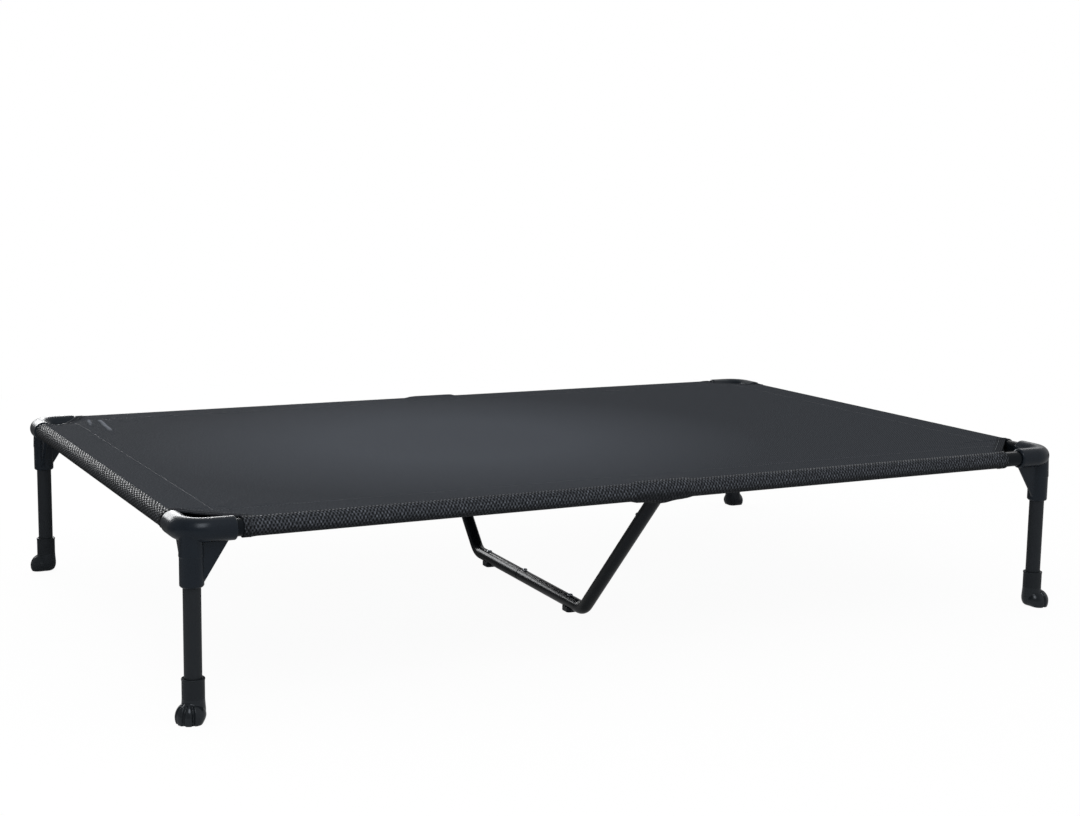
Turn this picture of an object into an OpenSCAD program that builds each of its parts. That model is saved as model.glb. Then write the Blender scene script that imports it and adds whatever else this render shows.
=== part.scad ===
// Raised dog cot: a knock-down frame of steel tubes pushed into moulded corners,
// a woven sling on sewn sleeves, and a U-shaped support under the middle.
// Millimetres. X runs along the long rails, -Y is the front, the feet stand on Z = 0.

/* [Overall] */
// Length over the corner connectors
overall_length = 1250; // [900:10:1500]
// Width over the corner connectors
overall_width = 800; // [600:10:1000]
// Height of the rails' centre lines above the floor
rail_height = 214; // [180:1:320]

/* [Frame tubes] */
// Outside diameter of the rails and legs
tube_d = 20; // [18:0.5:24]
// Wall of the rails and legs
tube_wall = 1.2; // [0.8:0.1:2]
// Gap all round a tube in its socket
socket_clearance = 0.1; // [0.05:0.05:0.3]
// Gap between the end of a tube and what it stops against
end_gap = 0.2; // [0.1:0.1:1]

/* [Corner connectors] */
// Wall of the sockets
socket_wall = 3.4; // [2:0.1:5]
// Radius of the elbow's centre line
elbow_r = 27; // [22:1:40]
// Depth of the two rail sockets
rail_socket_depth = 28; // [20:1:50]
// Drop from the rails' centre lines to the mouth of the leg socket
leg_socket_drop = 63; // [55:1:90]
// Depth of the leg socket
leg_socket_depth = 40; // [25:1:40]
// Height of the plain collar above the mouth of the leg socket
leg_collar_height = 34; // [20:1:45]
// How far the leg body stands proud of that collar
leg_collar_step = 0.6; // [0.2:0.1:1.5]
// Chamfer round the outside of each mouth
mouth_chamfer = 1.6; // [0.5:0.1:2]
// Thickness of the gusset webs
gusset_thickness = 5; // [3:0.5:8]
// Reach of the gussets from the leg's axis
gusset_reach = 40.5; // [30:0.5:45]
// Height of the gussets' lower ends above the mouth of the leg socket
gusset_lift = 6; // [3:0.5:20]

/* [Feet] */
// Height of the rubber feet
foot_height = 49; // [42:1:60]
// Rubber wall round the leg
foot_wall = 2.6; // [2:0.1:4]
// Rubber under the leg
foot_floor = 8; // [4:0.5:15]
// How far the heel stands proud of the ankle
heel_swell = 0.9; // [0.3:0.1:2]
// Height of the heel before it draws in to the ankle
heel_height = 13; // [8:1:18]
// Height at which the ankle begins
ankle_height = 26; // [20:1:32]
// Radius round the edge of the sole
sole_edge_r = 3; // [1:0.5:5]
// Height of the lip round the foot's mouth
foot_lip_height = 2.4; // [1:0.2:4]
// How far the lip stands proud of the ankle
foot_lip = 0.4; // [0.2:0.1:1]
// Diameter of the round paw
paw_d = 34.6; // [31:0.2:38]
// How far the middle of the paw lies in front of the leg's axis
paw_offset = 6.5; // [4:0.5:8]
// Height of the middle of the paw
paw_height = 7; // [5:0.5:9]
// Diameter of the tool that cuts the grooves between the toes
groove_d = 4.4; // [3:0.2:5]
// Depth of those grooves
groove_depth = 1.8; // [0.8:0.1:2]
// Angle between one groove and the next
groove_fan = 40; // [34:1:42]
// Height angle at which the grooves end, seen from the middle of the paw
groove_top = 60; // [45:1:61]
// Height angle at which the grooves begin, under the sole
groove_bottom = -40; // [-50:1:-35]

/* [Rail tees] */
// Length of the sleeve that joins two rail halves
tee_length = 68; // [50:1:110]
// Wall of that sleeve
tee_wall = 2; // [1.5:0.1:2.2]
// Distance from the middle of a long rail to the middle of its tee, to the left in front
tee_offset = 17; // [0:1:60]
// Length of the stub that carries the support, from the rail's centre line
stub_length = 88; // [84:1:110]
// Wall of the stub
stub_wall = 1.4; // [1:0.1:2]

/* [Centre support] */
// Outside diameter of the support tube
support_d = 18; // [16:0.5:20]
// Wall of the support tube
support_wall = 1; // [0.8:0.1:1.5]
// Length of the floor bar, between the corners of its centre line
bar_length = 364; // [220:2:420]
// Height of the bar's centre line above the floor
bar_height = 13; // [12:0.5:20]
// Radius of the bends' centre line
bend_r = 30; // [24:1:60]
// Length of the swaged end that joins the two halves
swage_length = 44; // [36:1:80]
// Length over which the swaged end tapers down
swage_taper = 2; // [1:0.5:6]
// How much the wall thins in the bends, on each of its faces
bend_thinning = 0.05; // [0.02:0.01:0.15]
// Angle by which a bend laps into the straight tube at each end
bend_lap = 0.3; // [0.1:0.1:0.5]
// Gap between the support's upper end and the tee
arm_gap = 0.4; // [0.3:0.1:2]

/* [Support pads] */
// Length of a pad along the bar
pad_length = 20; // [14:1:40]
// Width of a pad
pad_width = 17; // [17:0.5:24]
// How far a pad comes up round the tube
pad_wrap = 3; // [1:0.5:3.5]
// Distance from the bend to the middle of a pad
pad_inset = 30; // [10:1:40]
// Radius of a pad's corners
pad_corner_r = 4; // [2:0.5:6]
// Gap between a pad and the tube
pad_clearance = 0.1; // [0.05:0.05:0.3]
// Shank diameter of a pad's rivet
rivet_d = 4; // [3:0.5:5]
// Head diameter of a rivet
rivet_head_d = 7.6; // [6.4:0.2:9]
// Height of a rivet's head above the tube
rivet_head_height = 1.6; // [1:0.2:2.5]
// Recess of the rivet's tail in the sole of the pad
rivet_recess = 0.8; // [0.5:0.1:1.5]
// Thickness of the rivet's tail
rivet_tail_height = 1.2; // [0.8:0.1:1.6]
// Gap round the rivet
rivet_clearance = 0.1; // [0.05:0.05:0.3]

/* [Snap buttons] */
// Diameter of a snap button
button_d = 6.6; // [5:0.2:7]
// How far a button stands out of its tube
button_proud = 3; // [1.5:0.1:4]
// Gap round a button in its holes
button_clearance = 0.2; // [0.1:0.05:0.3]
// Radius round the edge of a button
button_edge_r = 1.5; // [0.5:0.1:2]
// Distance from the rail's centre line to a button, along the support's arm
button_distance = 70; // [60:1:74]
// Distance from the bar's joint to its button
bar_button_distance = 12; // [10:1:16]
// Width of the spring clips
spring_width = 6; // [4:0.5:7]
// Thickness of the spring strip
spring_thickness = 0.8; // [0.5:0.1:1]
// Length of the spring's straight legs
spring_leg = 18; // [14:1:20]
// How far a spring runs on past its button
spring_tip = 1; // [0.5:0.1:2]
// Gap between a spring and the tube or button that it bears on
spring_gap = 0.15; // [0.1:0.05:0.3]

/* [Sling] */
// Thickness of the woven cloth
cloth_thickness = 1; // [0.6:0.1:1.2]
// Gap between a rail and the cloth of its sleeve
sleeve_ease = 0.25; // [0.2:0.05:0.3]
// Distance from a rail's centre line to the stitching of its sleeve
hem_width = 45; // [36:1:60]
// Cloth beyond the stitching
hem_margin = 5; // [3:1:10]
// Bare rail between a corner's mouth and the sling
notch_gap = 7; // [4:1:30]
// Bare rail at the front right corner, where the cloth has crept inwards
notch_gap_front_right = 26; // [4:1:40]
// How far inwards the end of a sleeve runs square to its rail, before the cloth is cut across the corner
notch_land = 4; // [2:0.5:12]
// Gap along the rail between a tee and the cloth drawn over it
tee_ease = 1; // [0.5:0.5:4]
// Gap between the support's arm and the slot in the sleeve
slot_clearance = 3; // [1:0.5:6]

/* [Hidden] */
$fn = 64;

moulded_black = "#232427";
coated_black = "#1c1d20";
rubber_black = "#1a1a1b";
cloth_charcoal = "#34373c";
plated_steel = "#8f9296";

// A cut runs this far past the face it opens
over = 1;
tube_r = tube_d / 2;
bore_r = tube_r + socket_clearance;
socket_r = bore_r + socket_wall;
// Half the distance between opposite rails
rail_x = overall_length / 2 - socket_r;
rail_y = overall_width / 2 - socket_r;
// The leg stands under the middle of the elbow, inboard of both rails
leg_inset = elbow_r * (1 - cos(45));
leg_x = rail_x - leg_inset;
leg_y = rail_y - leg_inset;
mouth_reach = elbow_r + rail_socket_depth;

tee_r = bore_r + tee_wall;
support_r = support_d / 2;
support_bore_r = support_r - support_wall;
stub_r = support_bore_r - socket_clearance;
stub_bore_r = stub_r - stub_wall;
swage_bore_r = stub_r - support_wall;

// The two long rails are alike, each turned half round, so the support's plane is turned with their tees
support_turn = atan2(tee_offset, rail_y);
support_reach = norm([tee_offset, rail_y]);
// The arms run straight from the rails' centre lines to the corners of the bar
arm_rise = rail_height - bar_height;
arm_run = support_reach - bar_length / 2;
arm_angle = atan2(arm_rise, arm_run);
bend_tangent = bend_r * tan(arm_angle / 2);
bend_y = bar_length / 2 - bend_tangent;
arm_start = tee_r + arm_gap;
arm_end = norm([arm_rise, arm_run]) - bend_tangent;
bar_joint_y = swage_length / 2;
bar_button_y = bar_joint_y - bar_button_distance;
pad_y = bend_y - pad_inset;
pad_top = bar_height - support_r + pad_wrap;

button_r = button_d / 2;
button_hole_r = button_r + button_clearance;

// Inside and outside radius of the cloth on a rail
sleeve_in = tube_r + sleeve_ease;
sleeve_out = sleeve_in + cloth_thickness;
// Direction in which the cloth leaves the underside of a rail, towards its stitching
hem_angle = 2 * atan2(sleeve_in, hem_width) - 90;
// Flats in the cloth's curve round a rail
arc_steps = 20;

// Placing

// Moves a shape drawn with X and Y pointing inwards along the rails to one corner
module at_corner(sx, sy) {
    translate([sx * rail_x, sy * rail_y, rail_height])
        mirror([sx > 0 ? 1 : 0, 0, 0])
            mirror([0, sy > 0 ? 1 : 0, 0])
                children();
}

// Turns a shape drawn about the YZ plane to the plane of the support
module on_support() {
    rotate([0, 0, -support_turn])
        children();
}

// Moves a shape drawn along Y, from the rail inwards, onto the front arm of the support
module on_front_arm() {
    on_support()
        translate([0, -support_reach, rail_height])
            rotate([-arm_angle, 0, 0])
                children();
}

// Turns the front half round to the rear
module to_rear() {
    rotate([0, 0, 180])
        children();
}

// Moves a shape drawn along X, about its own middle, to the front tee
module at_front_tee() {
    translate([-tee_offset, -rail_y, rail_height])
        children();
}

// Lays a shape drawn along Z down along X
module along_x() {
    rotate([0, 90, 0])
        children();
}

// Lays a shape drawn along Z down along Y
module along_y() {
    rotate([-90, 0, 0])
        children();
}

// Stands an outline up in the YZ plane and gives it a width along X
module across(width) {
    rotate([90, 0, 90])
        linear_extrude(width, center = true)
            children();
}

// Repeated shapes

function polar(r, angle) = [r * cos(angle), r * sin(angle)];

module pipe(r, bore, length) {
    difference() {
        cylinder(r = r, h = length);
        translate([0, 0, -over])
            cylinder(r = bore, h = length + 2 * over);
    }
}

// Post with a rounded upper edge
module domed_post(r, height, edge) {
    rotate_extrude() {
        square([r - edge, height]);
        square([r, height - edge]);
        translate([r - edge, height - edge])
            circle(edge);
    }
}

// Corner connector

module elbow() {
    translate([elbow_r, elbow_r, 0])
        rotate([0, 0, 180])
            rotate_extrude(angle = 90)
                translate([elbow_r, 0])
                    circle(socket_r);
}

module rail_socket() {
    translate([elbow_r, 0, 0])
        along_x()
            rotate_extrude()
                polygon([
                    [0, 0],
                    [socket_r, 0],
                    [socket_r, rail_socket_depth - mouth_chamfer],
                    [socket_r - mouth_chamfer, rail_socket_depth],
                    [0, rail_socket_depth]
                ]);
}

module leg_socket() {
    translate([leg_inset, leg_inset, -leg_socket_drop])
        rotate_extrude()
            polygon([
                [0, 0],
                [socket_r - mouth_chamfer, 0],
                [socket_r, mouth_chamfer],
                [socket_r, leg_collar_height],
                [socket_r + leg_collar_step, leg_collar_height],
                [socket_r - leg_collar_step, leg_socket_drop],
                [0, leg_socket_drop]
            ]);
}

module gusset() {
    foot_z = gusset_lift - leg_socket_drop;
    translate([leg_inset, leg_inset / 2, 0])
        rotate([90, 0, 0])
            linear_extrude(gusset_thickness, center = true)
                polygon([
                    [0, 0],
                    [gusset_reach, 0],
                    [gusset_reach, -socket_r],
                    [socket_r - leg_collar_step, foot_z],
                    [0, foot_z]
                ]);
}

module rail_bore() {
    translate([elbow_r, 0, 0])
        along_x()
            cylinder(r = bore_r, h = rail_socket_depth + over);
}

module leg_bore() {
    translate([leg_inset, leg_inset, -leg_socket_drop - over])
        cylinder(r = bore_r, h = leg_socket_depth + over);
}

// The same shape along the other rail of the corner
module other_rail() {
    mirror([1, -1, 0])
        children();
}

module corner(sx, sy) {
    color(moulded_black)
        at_corner(sx, sy)
            difference() {
                union() {
                    elbow();
                    rail_socket();
                    other_rail()
                        rail_socket();
                    leg_socket();
                    gusset();
                    other_rail()
                        gusset();
                }
                rail_bore();
                other_rail()
                    rail_bore();
                leg_bore();
            }
}

// Tubes of the frame

module long_rail(sx, sy) {
    seam = sy * tee_offset + sx * end_gap;
    outer = sx * (rail_x - elbow_r - end_gap);
    color(coated_black)
        translate([min(seam, outer), sy * rail_y, rail_height])
            along_x()
                pipe(tube_r, tube_r - tube_wall, abs(outer - seam));
}

module side_rail(sx) {
    length = 2 * (rail_y - elbow_r - end_gap);
    color(coated_black)
        translate([sx * rail_x, -length / 2, rail_height])
            along_y()
                pipe(tube_r, tube_r - tube_wall, length);
}

module leg(sx, sy) {
    bottom = foot_floor + end_gap;
    top = rail_height - leg_socket_drop + leg_socket_depth - end_gap;
    color(coated_black)
        translate([sx * leg_x, sy * leg_y, bottom])
            pipe(tube_r, tube_r - tube_wall, top - bottom);
}

// Paw-shaped foot, drawn with its toes along X

module ankle() {
    ankle_r = bore_r + foot_wall;
    heel_r = ankle_r + heel_swell;
    lip_z = foot_height - foot_lip_height;
    rotate_extrude() {
        polygon([
            [0, 0],
            [heel_r - sole_edge_r, 0],
            [heel_r - sole_edge_r, sole_edge_r],
            [heel_r, sole_edge_r],
            [heel_r, heel_height],
            [ankle_r, ankle_height],
            [ankle_r, lip_z],
            [ankle_r + foot_lip, lip_z + foot_lip],
            [ankle_r + foot_lip, foot_height],
            [0, foot_height]
        ]);
        translate([heel_r - sole_edge_r, sole_edge_r])
            circle(sole_edge_r);
    }
}

// Round front of the paw, with the grooves that part its four toes
module toes() {
    paw_r = paw_d / 2;
    ring_r = paw_r - groove_depth + groove_d / 2;
    translate([paw_offset, 0, paw_height])
        difference() {
            sphere(paw_r);
            for (step = [-1 : 1])
                rotate([90, 0, step * groove_fan])
                    rotate([0, 0, groove_bottom])
                        rotate_extrude(angle = groove_top - groove_bottom)
                            translate([ring_r, 0])
                                circle(groove_d / 2);
        }
}

module foot(sx, sy) {
    color(rubber_black)
        translate([sx * leg_x, sy * leg_y, 0])
            rotate([0, 0, atan2(sy, sx)])
                difference() {
                    union() {
                        ankle();
                        toes();
                    }
                    translate([0, 0, foot_floor])
                        cylinder(r = bore_r, h = foot_height);
                    translate([0, 0, -paw_d])
                        cylinder(r = paw_d, h = paw_d);
                }
}

// Rail tee

module front_tee() {
    difference() {
        union() {
            at_front_tee()
                along_x()
                    cylinder(r = tee_r, h = tee_length, center = true);
            on_front_arm()
                along_y()
                    cylinder(r = stub_r, h = stub_length);
        }
        at_front_tee()
            along_x()
                cylinder(r = bore_r, h = tee_length + 2 * over, center = true);
        on_front_arm()
            translate([0, tee_r, 0])
                along_y()
                    cylinder(r = stub_bore_r, h = stub_length);
        front_button_hole();
    }
}

module front_button_hole() {
    on_front_arm()
        translate([0, button_distance, 0])
            cylinder(r = button_hole_r, h = support_r + over);
}

module tee_front() {
    color(coated_black)
        front_tee();
}

module tee_rear() {
    color(coated_black)
        to_rear()
            front_tee();
}

// Centre support

// Arm and bend of the front half, without the bar
module front_arm() {
    on_front_arm()
        translate([0, arm_start, 0])
            along_y()
                pipe(support_r, support_bore_r, arm_end - arm_start);
    on_support()
        translate([0, -bend_y, bar_height + bend_r])
            rotate([90, 0, 90])
                rotate([0, 0, -90 - arm_angle - bend_lap])
                    rotate_extrude(angle = arm_angle + 2 * bend_lap)
                        translate([bend_r, 0])
                            difference() {
                                circle(support_r - bend_thinning);
                                circle(support_bore_r + bend_thinning);
                            }
}

// Hole right through the bar for a pad's rivet
module rivet_hole(y) {
    on_support()
        translate([0, y, bar_height - support_r - over])
            cylinder(r = rivet_d / 2 + rivet_clearance, h = support_d + 2 * over);
}

module bar_button_hole() {
    on_bar()
        cylinder(r = button_hole_r, h = support_r + over);
}

module support_front() {
    color(coated_black)
        difference() {
            union() {
                front_arm();
                on_support()
                    translate([0, -bend_y, bar_height])
                        along_y()
                            pipe(support_r, support_bore_r, bend_y + bar_joint_y);
            }
            front_button_hole();
            bar_button_hole();
            rivet_hole(-pad_y);
        }
}

// Rear part of the bar, drawn along Z from the bend to the tip of its swaged end
module swaged_bar() {
    shoulder = bend_y - bar_joint_y - end_gap;
    tip = shoulder + swage_length;
    rotate_extrude()
        polygon([
            [support_bore_r, 0],
            [support_r, 0],
            [support_r, shoulder - swage_taper],
            [stub_r, shoulder],
            [stub_r, tip],
            [swage_bore_r, tip],
            [swage_bore_r, shoulder],
            [support_bore_r, shoulder - swage_taper]
        ]);
}

module support_rear() {
    color(coated_black)
        difference() {
            union() {
                to_rear()
                    front_arm();
                on_support()
                    translate([0, bend_y, bar_height])
                        rotate([90, 0, 0])
                            swaged_bar();
            }
            to_rear()
                front_button_hole();
            bar_button_hole();
            rivet_hole(pad_y);
        }
}

// Rubber pads under the bar, and their rivets

module pad_outline() {
    inner = [pad_width - 2 * pad_corner_r, pad_length - 2 * pad_corner_r];
    square([pad_width, inner.y], center = true);
    square([inner.x, pad_length], center = true);
    for (sx = [-1, 1], sy = [-1, 1])
        translate([sx * inner.x / 2, sy * inner.y / 2])
            circle(pad_corner_r);
}

module pad(sy) {
    tail_top = rivet_recess + rivet_tail_height;
    color(rubber_black)
        on_support()
            translate([0, sy * pad_y, 0])
                difference() {
                    linear_extrude(pad_top)
                        pad_outline();
                    translate([0, -pad_length, bar_height])
                        along_y()
                            cylinder(r = support_r + pad_clearance, h = 2 * pad_length);
                    translate([0, 0, -over])
                        cylinder(r = rivet_d / 2 + rivet_clearance, h = pad_top + over);
                    translate([0, 0, -over])
                        cylinder(r = rivet_head_d / 2, h = tail_top + rivet_clearance + over);
                }
}

module pad_rivet() {
    top = bar_height + support_r + rivet_head_height;
    head_bottom = bar_height + support_r - rivet_head_height;
    translate([0, 0, rivet_recess])
        cylinder(r = rivet_head_d / 2 - rivet_clearance, h = rivet_tail_height);
    translate([0, 0, rivet_recess])
        cylinder(r = rivet_d / 2, h = top - rivet_recess - rivet_head_height);
    difference() {
        translate([0, 0, head_bottom])
            domed_post(rivet_head_d / 2, top - head_bottom, rivet_head_height);
        translate([0, -rivet_head_d, bar_height])
            along_y()
                cylinder(r = support_r + rivet_clearance, h = 2 * rivet_head_d);
    }
}

module pad_rivets() {
    color(plated_steel)
        for (sy = [-1, 1])
            on_support()
                translate([0, sy * pad_y, 0])
                    pad_rivet();
}

// Snap buttons and their springs, drawn on a tube that lies along Y

// Height of the spring's upper face above the axis of a tube with this bore
function spring_top(bore) = sqrt(bore * bore - spring_width * spring_width / 4) - spring_gap;

module snap_button(bore) {
    bottom = spring_top(bore) + spring_gap / 2;
    translate([0, 0, bottom])
        domed_post(button_r, support_r + button_proud - bottom, button_edge_r);
}

// A strip folded round on itself, one leg behind the button and one on the far wall
module spring_clip(bore) {
    top = spring_top(bore);
    inner = top - spring_thickness;
    back = spring_leg - button_r - spring_tip;
    across(spring_width) {
        for (level = [-top, inner])
            translate([-back, level])
                square([spring_leg, spring_thickness]);
        translate([-back, 0])
            difference() {
                circle(top);
                circle(inner);
                translate([0, -top])
                    square([top, 2 * top]);
            }
    }
}

module on_bar() {
    on_support()
        translate([0, bar_button_y, bar_height])
            children();
}

module on_button_arm() {
    on_front_arm()
        translate([0, button_distance, 0])
            children();
}

module button_front() {
    color(plated_steel)
        on_button_arm()
            snap_button(stub_bore_r);
}

module button_rear() {
    color(plated_steel)
        to_rear()
            on_button_arm()
                snap_button(stub_bore_r);
}

module button_bar() {
    color(plated_steel)
        on_bar()
            snap_button(swage_bore_r);
}

module spring_front() {
    color(plated_steel)
        on_button_arm()
            spring_clip(stub_bore_r);
}

module spring_rear() {
    color(plated_steel)
        to_rear()
            on_button_arm()
                spring_clip(stub_bore_r);
}

module spring_bar() {
    color(plated_steel)
        on_bar()
            spring_clip(swage_bore_r);
}

// Sling

function arc(r, from, to) = [for (i = [0 : arc_steps]) polar(r, from + (to - from) * i / arc_steps)];

// Section across a rail, X inwards: over the rail, round under it and back to the stitching
module sleeve_section() {
    stitch = [hem_width, sleeve_in];
    under = 360 + hem_angle;
    polygon(concat(
        [[hem_width + hem_margin, sleeve_out]],
        arc(sleeve_out, 90, under),
        [stitch + polar(cloth_thickness, hem_angle), [hem_width + hem_margin, sleeve_in], stitch],
        arc(sleeve_in, under, 90)
    ));
}

// Cloth drawn over the front tee
module tee_cover() {
    cover_r = tee_r + sleeve_ease;
    length = tee_length + 2 * (tee_ease + cloth_thickness);
    at_front_tee()
        along_x()
            cylinder(r = cover_r + cloth_thickness, h = length, center = true);
}

module tee_room() {
    length = tee_length + 2 * tee_ease;
    at_front_tee()
        along_x()
            cylinder(r = tee_r + sleeve_ease, h = length, center = true);
}

module arm_slot() {
    on_front_arm()
        along_y()
            cylinder(r = support_r + slot_clearance, h = hem_width + hem_margin);
}

module front_sleeve() {
    difference() {
        union() {
            translate([0, -rail_y, rail_height])
                across(2 * rail_x)
                    sleeve_section();
            tee_cover();
        }
        translate([-rail_x, -rail_y, rail_height])
            along_x()
                cylinder(r = tube_r + sleeve_ease / 2, h = 2 * rail_x);
        tee_room();
        arm_slot();
    }
}

module left_sleeve() {
    translate([-rail_x, 0, rail_height])
        rotate([90, 0, 0])
            linear_extrude(2 * rail_y, center = true)
                sleeve_section();
}

// Clearing in the cloth at one corner, cut straight across between the two sleeves
module notch(sx, sy, gap) {
    reach = mouth_reach + gap;
    outside = -2 * sleeve_out;
    at_corner(sx, sy)
        linear_extrude(4 * sleeve_out, center = true)
            polygon([
                [outside, outside],
                [reach, outside],
                [reach, notch_land],
                [notch_land, reach],
                [outside, reach]
            ]);
}

module notches() {
    notch(-1, -1, notch_gap);
    notch(1, -1, notch_gap_front_right);
    notch(-1, 1, notch_gap);
    notch(1, 1, notch_gap);
}

module sling() {
    inner_x = rail_x - hem_width - hem_margin / 2;
    inner_y = rail_y - hem_width - hem_margin / 2;
    color(cloth_charcoal) {
        difference() {
            union() {
                front_sleeve();
                to_rear()
                    front_sleeve();
            }
            notches();
        }
        difference() {
            union() {
                left_sleeve();
                mirror([1, 0, 0])
                    left_sleeve();
            }
            notches();
        }
        difference() {
            translate([-inner_x, -inner_y, rail_height + sleeve_in])
                cube([2 * inner_x, 2 * inner_y, cloth_thickness]);
            notches();
        }
    }
}

corner(-1, -1);  // corner_front_left
corner(1, -1);  // corner_front_right
corner(-1, 1);  // corner_rear_left
corner(1, 1);  // corner_rear_right
long_rail(-1, -1);  // rail_front_left
long_rail(1, -1);  // rail_front_right
long_rail(-1, 1);  // rail_rear_left
long_rail(1, 1);  // rail_rear_right
side_rail(-1);  // rail_left
side_rail(1);  // rail_right
leg(-1, -1);  // leg_front_left
leg(1, -1);  // leg_front_right
leg(-1, 1);  // leg_rear_left
leg(1, 1);  // leg_rear_right
foot(-1, -1);  // foot_front_left
foot(1, -1);  // foot_front_right
foot(-1, 1);  // foot_rear_left
foot(1, 1);  // foot_rear_right
tee_front();
tee_rear();
support_front();
support_rear();
pad(-1);  // pad_front
pad(1);  // pad_rear
pad_rivets();
button_front();
button_rear();
button_bar();
spring_front();
spring_rear();
spring_bar();
sling();
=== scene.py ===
# %% [markdown]
# # A raised dog cot
#
# The cot is a knock-down frame: steel tubes pushed into moulded corners, with one woven sling whose four
# sleeves run on the rails, and a bent tube that props the middle. The solids of the frame are packed
# already, in metres, standing on Z = 0, so each step here dresses a solid or replaces it with a finer piece.

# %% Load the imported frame
import math

import bpy
import numpy as np
from mathutils import Matrix, Vector


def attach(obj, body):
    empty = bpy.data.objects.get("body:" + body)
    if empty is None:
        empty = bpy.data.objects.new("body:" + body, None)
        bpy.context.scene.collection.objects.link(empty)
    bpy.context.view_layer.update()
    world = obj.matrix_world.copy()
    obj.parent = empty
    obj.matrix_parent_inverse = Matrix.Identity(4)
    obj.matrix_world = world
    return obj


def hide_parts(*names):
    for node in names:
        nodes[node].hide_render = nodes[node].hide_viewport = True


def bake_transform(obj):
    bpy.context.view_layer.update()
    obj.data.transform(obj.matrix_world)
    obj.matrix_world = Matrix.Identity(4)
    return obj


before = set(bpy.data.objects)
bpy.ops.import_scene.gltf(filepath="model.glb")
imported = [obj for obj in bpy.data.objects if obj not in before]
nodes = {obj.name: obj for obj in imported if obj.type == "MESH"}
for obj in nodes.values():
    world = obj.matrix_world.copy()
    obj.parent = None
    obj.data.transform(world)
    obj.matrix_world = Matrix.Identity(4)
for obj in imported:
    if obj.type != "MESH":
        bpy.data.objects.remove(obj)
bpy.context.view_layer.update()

# %% [markdown]
# ## Camera
#
# The photograph was taken from the front left, a little above the sling. Its place and lens were worked out
# from the corners of the frame, so the rails, legs and feet fall where the photograph has them.

# %% Place the camera
PHOTO_WIDTH, FOCAL_LENGTH = 1080.0, 1754.4  # in pixels
SENSOR_WIDTH = 36.0
CAMERA_PLACE = (-1.1264, -2.1939, 0.6276)
HEADING, DIP, TILT = math.radians(-27.497), math.radians(-8.448), math.radians(-0.884)
LEVEL = math.radians(90.0)
camera_data = bpy.data.cameras.new("photo_camera")
camera = bpy.data.objects.new("photo_camera", camera_data)
bpy.context.scene.collection.objects.link(camera)
camera_data.sensor_width = SENSOR_WIDTH
camera_data.lens = SENSOR_WIDTH * FOCAL_LENGTH / PHOTO_WIDTH
camera.location = CAMERA_PLACE
camera.rotation_euler = (
    Matrix.Rotation(HEADING, 3, "Z")
    @ Matrix.Rotation(DIP, 3, "X")
    @ Matrix.Rotation(TILT, 3, "Y")
    @ Matrix.Rotation(LEVEL, 3, "X")
).to_euler()
bpy.context.scene.camera = camera
bpy.context.scene.view_settings.view_transform = "Standard"
print("lens in mm:", round(camera_data.lens, 2))

# %% [markdown]
# ## Small helpers
#
# Colours are written as the hex values that a paint chart would give, and one function turns them into the
# linear numbers that a shader works in. Another adds one node with its settings and links. Most finishes
# share two things, a colour and a gloss that wander in patches, and a fine relief, so these have functions
# of their own. The last two keep an operator to one object, because it acts on all that is selected.

# %% Helpers for nodes
def linear(hex_colour):
    """The linear RGBA of an sRGB hex colour."""
    parts = [int(hex_colour[i:i + 2], 16) / 255 for i in (1, 3, 5)]
    return tuple(p / 12.92 if p <= 0.04045 else ((p + 0.055) / 1.055) ** 2.4 for p in parts) + (1.0,)


def add(tree, kind, inputs=None, **settings):
    """Adds a node; an input takes a plain value, or the output of another node."""
    made = tree.nodes.new("ShaderNode" + kind)
    for name, value in settings.items():
        setattr(made, name, value)
    for socket, value in (inputs or {}).items():
        if isinstance(value, bpy.types.NodeSocket):
            tree.links.new(value, made.inputs[socket])
        else:
            made.inputs[socket].default_value = value
    return made


print("helpers for nodes ready")

# %% Helpers for finishes
SHEEN = linear("#e6eef8")


def finish_of(name, **values):
    """A new material with its node tree and its main shader, whose plain values are set by name."""
    material = bpy.data.materials.new(name)
    material.use_nodes = True
    shader = material.node_tree.nodes["Principled BSDF"]
    shader.inputs["Specular Tint"].default_value = SHEEN
    for socket, value in values.items():
        shader.inputs[socket.replace("_", " ")].default_value = value
    return material, material.node_tree, shader


def mottle(tree, shader, size, detail, colours, roughness):
    """Lets colour and roughness wander together, in patches of about this size in metres."""
    place = add(tree, "TexCoord").outputs["Object"]
    patches = add(tree, "TexNoise", {"Vector": place, "Scale": 1 / size, "Detail": detail}).outputs["Fac"]
    tone = add(tree, "Mix", {0: patches, 6: linear(colours[0]), 7: linear(colours[1])}, data_type="RGBA")
    tree.links.new(tone.outputs[2], shader.inputs["Base Color"])
    gloss = add(tree, "MapRange", {0: patches, 3: roughness[0], 4: roughness[1]}).outputs[0]
    tree.links.new(gloss, shader.inputs["Roughness"])


def fine_relief(tree, shader, size, detail, strength, depth):
    """Gives a surface bumps of about this size in metres."""
    place = add(tree, "TexCoord").outputs["Object"]
    bumps = add(tree, "TexNoise", {"Vector": place, "Scale": 1 / size, "Detail": detail}).outputs["Fac"]
    skin = add(tree, "Bump", {"Height": bumps, "Strength": strength, "Distance": depth}).outputs[0]
    tree.links.new(skin, shader.inputs["Normal"])


def dress(prefixes, finish):
    """Gives one finish to every solid whose name starts this way."""
    for name, node in nodes.items():
        if name.startswith(prefixes):
            node.data.materials.clear()
            node.data.materials.append(finish)


print("helpers for finishes ready")

# %% Helpers for objects
def only(piece):
    """Selects one object and nothing else."""
    bpy.ops.object.select_all(action="DESELECT")
    piece.select_set(True)
    bpy.context.view_layer.objects.active = piece


def apply_modifiers(piece):
    """Makes the modifiers of one object part of its mesh."""
    only(piece)
    for modifier in list(piece.modifiers):
        bpy.ops.object.modifier_apply(modifier=modifier.name)


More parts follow.
